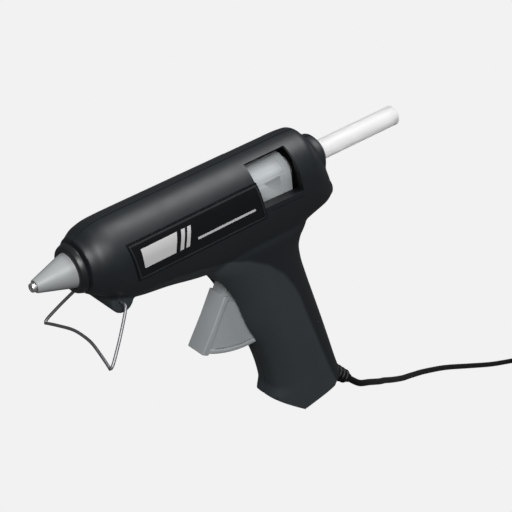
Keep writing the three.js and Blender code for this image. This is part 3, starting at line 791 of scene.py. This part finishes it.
def grown(piece, name, distance):
    """A copy with every point moved along its normal."""
    twin = copy_of(piece, name)
    normals = np.zeros(len(twin.data.vertices) * 3, np.float32)
    twin.data.vertices.foreach_get("normal", normals)
    moved = coordinates(twin.data) + normals.reshape(-1, 3) * distance * MM
    twin.data.vertices.foreach_set("co", moved.astype(np.float32).ravel())
    twin.data.update()
    return twin


def outer_form():
    """Barrel, handle, rear boss and stand lug run into one soft moulded form."""
    form = barrel_solid("outer", 0)
    boss_profile = [
        (168, 0), (168, 16.3), (181, 14), (183, 12.6), (189.8, 12.3), (190.5, 11.6), (190.5, 0),
    ]
    boss = turned("boss", boss_profile)
    neck = turned("neck", [(27.5, 0), (27.5, 12.7), (32, 12.7), (32, 0)])
    lug = rod("lug", 46.5, -24.4, 7.3, -13.4, 13.4)
    join(form, handle_solid("handle", 0), boss, neck, lug)
    remesh = form.modifiers.new("remesh", "REMESH")
    remesh.mode = "VOXEL"
    remesh.voxel_size = 0.8 * MM
    relax = form.modifiers.new("relax", "SMOOTH")
    relax.factor = 0.5
    relax.iterations = 8
    apply_modifiers(form)
    share = grip_share(coordinates(form.data) / MM, 1.6)
    normals = np.zeros(len(form.data.vertices) * 3, np.float32)
    form.data.vertices.foreach_get("normal", normals)
    sunk = coordinates(form.data) - normals.reshape(-1, 3) * (0.3 * MM * share)[:, None]
    form.data.vertices.foreach_set("co", sunk.astype(np.float32).ravel())
    form.data.update()
    return form


def bowed(a, b, bow, steps=8):
    """Points from a to b along an arc that bows sideways by bow."""
    (ax, az), (bx, bz) = a, b
    length = math.hypot(bx - ax, bz - az)
    points = []
    for k in range(steps):
        t = k / steps
        push = 4 * bow * t * (1 - t) / length
        points.append((ax + (bx - ax) * t + (bz - az) * push, az + (bz - az) * t - (bx - ax) * push))
    return points


def window_outline(margin=0.0):
    left = bowed((136 - margin, 19.5 + margin), (139 - margin, -5.5 - margin), 0.6)
    right = bowed((167.5 + margin, -6.5 - margin), (164 + margin, 19.5 + margin), 0.6)
    return left + [(139 - margin, -5.5 - margin)] + right + [(164 + margin, 19.5 + margin)]


def trigger_slot_outline():
    return [(112, -26), (121, -26), (128, -40), (133, -60), (138, -85), (138, -98), (112, -98)]


def label_outline(margin):
    shifts = ((-1, 1), (1, 1), (1, -1), (-1, -1))
    return [(x + margin * sx, z + margin * sz) for (x, z), (sx, sz) in zip(LABEL, shifts)]


def left_layer(name, outer, inner, outline):
    """A curved sheet of the left wall between two growths of the barrel, over an outline."""
    sheet = barrel_solid(name, outer, 1.5, 180)
    cut(sheet, barrel_solid("inner", inner, 1.5, 180))
    return keep(sheet, slab("outline", outline, -30, -5))


def housing_body():
    form = outer_form()
    cut(form, under_foot())
    groove = block("groove", 0, 230, -0.45, 0.45, -200, 60)
    cut(groove, grown(form, "core", -0.5))
    cavity = barrel_solid("cavity", -WALL, 4, 64)
    keep(cavity, block("limits", 33, 186, -40, 40, -60, 40))
    join(cavity, keep(handle_solid("hollow", -WALL, 5, 64), above_foot(WALL + 0.5)))
    inner = [
        block("rib", 44, 46, -25, 25, -40, 25), block("rib", 92, 94, -25, 25, -40, 25),
        rod("pivot_boss", *PIVOT, 4.5, -20, 20),
        turned("guide_tube", [(167.6, 9.6), (167.6, 12.8), (190.5, 12.2), (190.5, 9.6)]),
    ]
    for hand in (-1, 1):
        y0, y1 = sorted((hand * 13.3, hand * 21))
        frame_ring = slab("window_frame", window_outline(1.6), y0, y1)
        inner.append(cut(frame_ring, slab("opening", window_outline(), y0 - 1, y1 + 1)))
    inner += [rod("screw_boss", x, z, 4.6, -22, 22) for x, z in SCREWS]
    for piece in inner:
        cut(cavity, piece)
    cut(form, cavity, groove)
    cut(form, *housing_openings())
    return form


def above_foot(lift):
    """The space above the foot's facets, raised by the wall's thickness for the hollow."""
    return slab("above_foot", [(90, 0), (90, -100), *((x, z + lift) for x, z in FOOT), (230, 0)], -40, 40)


def under_foot():
    """The space below the foot's facets, clear of the trigger and the barrel."""
    return slab("under_foot", [*FOOT, (260, -104), (260, -220), (FOOT[0][0], -220)], -60, 60)


def housing_openings():
    slot = slab("slot", trigger_slot_outline(), -8, 8)
    tools = [
        turned("front", [(27, 0), (27, 11.7), (34, 11.7), (34, 0)]),
        turned("chamber_room", [(43, 0), (43, 8.9), (95, 8.9), (95, 0)]),
        turned("rear", [(170, 0), (170, 9.7), (193, 9.7), (193, 0)]),
        block("heater_room", 43, 95, -8, 8, -20.5, 0),
        rod("pin_seat", *PIVOT, 2.3, -14, 14),
        rod("hub_room", *PIVOT, 5.2, -10.2, 10.2),
        slot,
        left_layer("label_recess", 3, -0.9, label_outline(0.3)),
        left_layer("lip_line", 3, -0.35, [(144, -8.6), (168, -9.6), (168, -10.1), (144, -9.1)]),
        block("foot_crease", 130, 143.5, -9.7, -9.1, -160, -131),
    ]
    for hand in (-1, 1):
        y0, y1 = sorted((hand * 7, hand * 30))
        tools.append(slab("window", window_outline(), y0, y1))
        y0, y1 = sorted((hand * 8, hand * 20))
        tools.append(rod("stand_seat", *STAND_PIVOT, 1.4, y0, y1))
    tools.append(relief_hole())
    for x, z in SCREWS:
        tools.append(rod("thread", x, z, 1.65, -10.5, 9))
        tools.append(rod("counterbore", x, z, 3.1, 6.8, 25))
    return tools


def about_relief(name, profile, segments=64):
    """A [distance, radius] profile turned about the strain relief's axis."""
    piece = turned(name, profile, segments)
    turn = Vector((1, 0, 0)).rotation_difference(RELIEF_HEADING).to_matrix().to_4x4()
    piece.data.transform(Matrix.Translation(RELIEF_ROOT * MM) @ turn)
    return piece


def relief_hole():
    return about_relief("relief_hole", [(-8, 0), (-8, 4.6), (8, 4.6), (8, 0)])


def housings():
    form = housing_body()
    twin = copy_of(form, "other_half")
    keep(form, block("left_side", -10, 260, -60, -0.12, -220, 60))
    keep(twin, block("right_side", -10, 260, 0.12, 60, -220, 60))
    for piece, name in ((form, "housing_left"), (twin, "housing_right")):
        share = grip_share(coordinates(piece.data) / MM)
        mark_points(piece, "grip", share)
        # The "inside" attribute carries the painted shade of the window reveals.
        mark_points(piece, "inside", painted_reveal_shade(coordinates(piece.data) / MM))
        shaded(piece, 32)
        settle(piece, f"{name}_shell", "gun", MATERIALS["housing"], [name])


def label():
    plate = left_layer("plate", 0.12, -0.6, label_outline(0))
    plate = shaded(bevelled(plate, 0.15, 2, 50))
    settle(plate, "label_inlay", "gun", MATERIALS["label"], ["label_plate"])
    border = left_layer("border", 0.42, -0.3, label_outline(-0.9))
    cut(border, slab("inside", label_outline(-1.7), -40, 0))
    border = shaded(bevelled(border, 0.12, 2, 50))
    settle(border, "label_border", "gun", MATERIALS["border"])
    badge = [(57.2, 6.4), (81, 6.4), (78.6, -5.4), (58.2, -5.4)]
    stripe = [(93.5, -2.6), (133, -2.6), (133.4, -4), (93.8, -4)]
    marks = [("silver_mark", badge), ("silver_stripe", stripe)]
    for number in (1, 2):
        start = 77.6 + 4 * number
        bar = [(start + 2.2, 6.4), (start + 4.6, 6.4), (start + 2.2, -5.4), (start - 0.2, -5.4)]
        marks.append((f"silver_bar_{number}", bar))
    for name, outline in marks:
        mark = left_layer(name, 0.2, -0.2, outline)
        settle(shaded(mark), name, "gun", MATERIALS["mark"])


# ------------------------------------------------------------------ front end
def front_collar():
    profile = [
        (23.5, 10.4), (23.5, 12.1), (23.6, 12.5), (23.9, 12.95), (24.4, 13.3), (25, 13.55), (26.7, 14.15),
        (27, 14.15), (27.15, 14), (27.2, 13.7), (27.2, 11.4), (35, 11.4), (35, 10.4),
    ]
    ring = shaded(turned("collar", profile, 128))
    settle(ring, "collar_ring", "gun", MATERIALS["collar"], ["front_collar"])


def nozzle_parts():
    tip = [
        (0, 1.1), (0, 2.05), (0.12, 2.3), (0.4, 2.5), (0.9, 2.62), (2.2, 2.7), (3, 2.75), (24, 6.6),
        (37.7, 6.6), (37.7, 4.3), (47, 4.3), (47, 2.6), (28, 2.6), (28, 1.6), (8, 1.6), (6, 1.1),
    ]
    settle(shaded(turned("tip", tip)), "nozzle_tip", "gun", MATERIALS["nozzle"], ["nozzle"])
    sleeve = [
        (2.6, 3.05), (2.45, 3.3), (2.5, 3.6), (2.75, 3.8), (3.2, 3.95), (23.3, 9.85), (24, 10.05),
        (24.6, 10.1), (31, 10.1), (31, 7), (24, 7),
    ]
    cone = shaded(turned("sleeve", sleeve, 128))
    settle(cone, "silicone_cone", "gun", MATERIALS["silicone"], ["nozzle_sleeve"])


def glue_stick():
    profile = [
        (STICK_START, 0), (STICK_START, 5.2), (STICK_START + 0.2, 5.5), (STICK_START + 0.7, STICK_RADIUS),
        (STICK_END - 0.5, STICK_RADIUS), (STICK_END - 0.15, 5.65), (STICK_END, 5.4), (STICK_END, 0),
    ]
    stick = shaded(turned("stick", profile))
    settle(stick, "clear_stick", "stick", MATERIALS["glue"], ["glue_stick"])


def rear_guide():
    profile = [
        (176.3, 6.05), (176.3, 9.4), (191.6, 9.4), (192.1, 9.25), (192.35, 8.8), (192.2, 7.6),
        (191.3, 6.7), (190, 6.05),
    ]
    bush = shaded(turned("guide", profile))
    settle(bush, "guide_bush", "gun", MATERIALS["collar"], ["rear_guide"])


# ------------------------------------------------------------------ feed and trigger
def feed_carriage():
    """An arch over the stick with a rim at its back and a thick core that holds the gripper."""
    def arch(radius, foot):
        ring = [math.pi * k / 40 for k in range(41)]
        curve = [(radius * math.cos(a), radius * math.sin(a)) for a in ring]
        return curve + [(-radius, foot), (radius, foot)]

    def along(name, section, x0, x1):
        return loft(name, [[(x, y, z) for y, z in section] for x in (x0, x1)])

    shell = along("shell", arch(12.1, -11.3), 136.6, 165)
    cut(shell, along("room", arch(10.3, -20), 130, 148.4))
    rim = along("rim", arch(12.6, -11.3), 160.6, 165)
    join(shell, bevelled(rim, 0.5, 3, 60))
    cut(
        shell, turned("bore", [(130, 0), (130, 6.55), (170, 6.55), (170, 0)]),
        block("pin_slot", 138.9, 142.9, -14, 14, -14, -3.6),
        block("gripper_room", 151, 161, -3.6, 3.6, -16, -4),
    )
    for hand in (-1, 1):
        y0, y1 = sorted((hand * 11.2, hand * 14))
        pocket = [(146.5, 3.6), (157.5, 4.4), (157.5, -8.6)]
        cut(shell, slab("pocket", pocket, y0, y1))
    shaded(bevelled(shell, 0.2, 2, 40))
    settle(shell, "carriage_arch", "carriage", MATERIALS["trigger"], ["feed_carriage"])


def from_hinge(reach, angle):
    return (PIVOT[0] - reach * math.cos(angle), PIVOT[1] - reach * math.sin(angle))


def hinge_arc(reach, start, end, steps=24):
    return [from_hinge(reach, start + (end - start) * k / steps) for k in range(steps + 1)]


def trigger_bar():
    """The finger bar, waisted at mid height, with its front face on TRIGGER_FRONT."""
    outline = hinge_arc(66, TRIGGER_FRONT, TRIGGER_FRONT + 4.2 * DEGREE, 4) + [
        from_hinge(46, TRIGGER_FRONT + 5 * DEGREE), from_hinge(30.5, TRIGGER_FRONT + 7.4 * DEGREE),
        from_hinge(30.2, TRIGGER_FRONT), from_hinge(46, TRIGGER_FRONT + 0.6 * DEGREE),
    ]
    return bevelled(slab("bar", outline, -7, 7), 0.7, 4, 60)


def trigger_edge():
    """The rolled lower edge of the sector plate."""
    outline = hinge_arc(64.8, TRIGGER_FRONT + DEGREE, TRIGGER_BACK)
    outline += hinge_arc(62.2, TRIGGER_BACK, TRIGGER_FRONT)
    return bevelled(slab("edge", outline, -7, 7), 0.6, 3, 60)


def trigger_fork():
    """Two prongs up from the hub, each with a round end and a pin for the carriage's slot."""
    lean = 20 * DEGREE
    pin_x, pin_z = PIVOT[0] + 26 * math.sin(lean), PIVOT[1] + 26 * math.cos(lean)
    side = (2.6 * math.cos(lean), -2.6 * math.sin(lean))
    outline = [
        (PIVOT[0] - side[0] * 1.5, PIVOT[1] - side[1] * 1.5),
        (PIVOT[0] + side[0] * 1.5, PIVOT[1] + side[1] * 1.5),
        (pin_x + side[0], pin_z + side[1]), (pin_x - side[0], pin_z - side[1]),
    ]
    parts = []
    for hand in (-1, 1):
        y0, y1 = sorted((hand * 7.3, hand * 9.9))
        parts.append(slab("prong", outline, y0, y1))
        parts.append(rod("prong_end", pin_x, pin_z, 2.59, y0, y1))
        y0, y1 = sorted((hand * 7.35, hand * 12.7))
        parts.append(rod("fork_pin", pin_x, pin_z, 1.55, y0, y1))
    return parts


def trigger():
    """Finger bar, sector plate with a rolled lower edge, hub and fork."""
    neck = slab("neck", [PIVOT] + hinge_arc(40, TRIGGER_FRONT + 3 * DEGREE, TRIGGER_BACK), -4.5, 6)
    sector = hinge_arc(63, TRIGGER_FRONT + DEGREE, TRIGGER_BACK)
    sector += hinge_arc(30.5, TRIGGER_BACK, TRIGGER_FRONT)
    plate = slab("plate", sector, -6.3, 6.3)
    step = slab("step", [
        from_hinge(30.6, TRIGGER_FRONT + 5 * DEGREE), from_hinge(33.5, TRIGGER_FRONT + 6 * DEGREE),
        from_hinge(33.5, TRIGGER_FRONT + 17 * DEGREE), from_hinge(28, TRIGGER_FRONT + 17 * DEGREE),
    ], -7, -3)
    groove_line = hinge_arc(62.3, TRIGGER_FRONT + 8 * DEGREE, TRIGGER_BACK)
    groove_line += hinge_arc(61.5, TRIGGER_BACK, TRIGGER_FRONT + 8 * DEGREE)
    groove = slab("groove", groove_line, -8, -5.6)
    hub = rod("hub", *PIVOT, 4.9, -9.9, 9.9)
    cut(plate, step)
    join(plate, neck, trigger_bar(), trigger_edge(), hub, *trigger_fork())
    cut(plate, groove, rod("pin_hole", *PIVOT, 2.3, -12, 12))
    shaded(bevelled(plate, 0.12, 2, 50))
    settle(plate, "trigger_lever", "trigger", MATERIALS["trigger"], ["trigger"])


# ------------------------------------------------------------------ stand, relief, screws
def wire_stand():
    """One bent wire: out of the lug, down a splayed leg, along a bowed foot bar and up the other."""
    def on_leg(share, y):
        x, z = (foot + (pivot - foot) * share for foot, pivot in zip(STAND_FOOT, STAND_PIVOT))
        return x, y, z

    left = [
        on_leg(1, -9.4), on_leg(1, -15.4), on_leg(0.98, -17.6), on_leg(0.88, -20), on_leg(0.5, -25.6),
        on_leg(0.2, -29.4), on_leg(0.06, -30.8), on_leg(0, -30.4), on_leg(0.02, -28.4), on_leg(0.08, -21.5),
        on_leg(0.17, -9.5),
    ]
    points = left + [on_leg(0.19, 0)] + [(x, -y, z) for x, y, z in reversed(left)]
    path, _ = smooth_path([GUN @ (Vector(point) * MM) for point in points], 0.0012)
    wire = tube_curve("stand_wire", path, WIRE_RADIUS * MM, 5)
    wire.data.materials.append(MATERIALS["wire"])
    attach(wire, "stand")
    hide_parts("wire_stand")


def strain_relief():
    profile = [
        (-7, 0), (-7, 5.6), (-4.8, 5.6), (-4.8, 4.3), (0.4, 4.3), (0.9, 5.0), (1.3, 5.3), (3.6, 5.3),
        (4.1, 5.0),
    ]
    for rib in range(4):
        start = 4.3 + rib * 3.7
        radius = 5.2 - rib * 0.3
        for k in range(9):
            t = k / 8
            profile.append((start + 1.0 + 2.5 * t, radius - 0.85 + 0.85 * math.sin(math.pi * t) ** 0.7))
        profile.append((start + 3.6, radius - 1.0))
    profile += [(19.5, 2.9), (RELIEF_LENGTH - 0.4, 2.7), (RELIEF_LENGTH, 2.4), (RELIEF_LENGTH, 0)]
    piece = shaded(about_relief("relief", profile, 72), 60)
    settle(piece, "relief_boot", "gun", MATERIALS["rubber"], ["strain_relief"])


def housing_screws():
    for number, (x, z) in enumerate(SCREWS, 1):
        screw = rod("screw", x, z, 1.35, -10, 7.4)
        head = bevelled(rod("head", x, z, 2.7, 7.1, 9.2), 0.5, 3, 60)
        join(screw, head)
        for wide, tall in ((1.7, 0.28), (0.28, 1.7)):
            cut(screw, block("recess", x - wide, x + wide, 8.1, 9.6, z - tall, z + tall))
        replaced = [f"housing_screw_{number}"]
        settle(shaded(screw), f"screw_{number}", "gun", MATERIALS["steel"], replaced)


def dress_cad_nodes():
    """The pieces inside keep their CAD shape and get their materials."""
    slots = {entry["node"]: entry["material_slot"] for entry in frame["record"]["subparts"]}
    for name, node in frame["nodes"].items():
        node.data.materials.clear()
        node.data.materials.append(MATERIALS[slots[name]])


place_camera()
stage()
free_cord()
dress_cad_nodes()
housings()
label()
front_collar()
nozzle_parts()
glue_stick()
rear_guide()
feed_carriage()
trigger()
wire_stand()
strain_relief()
housing_screws()
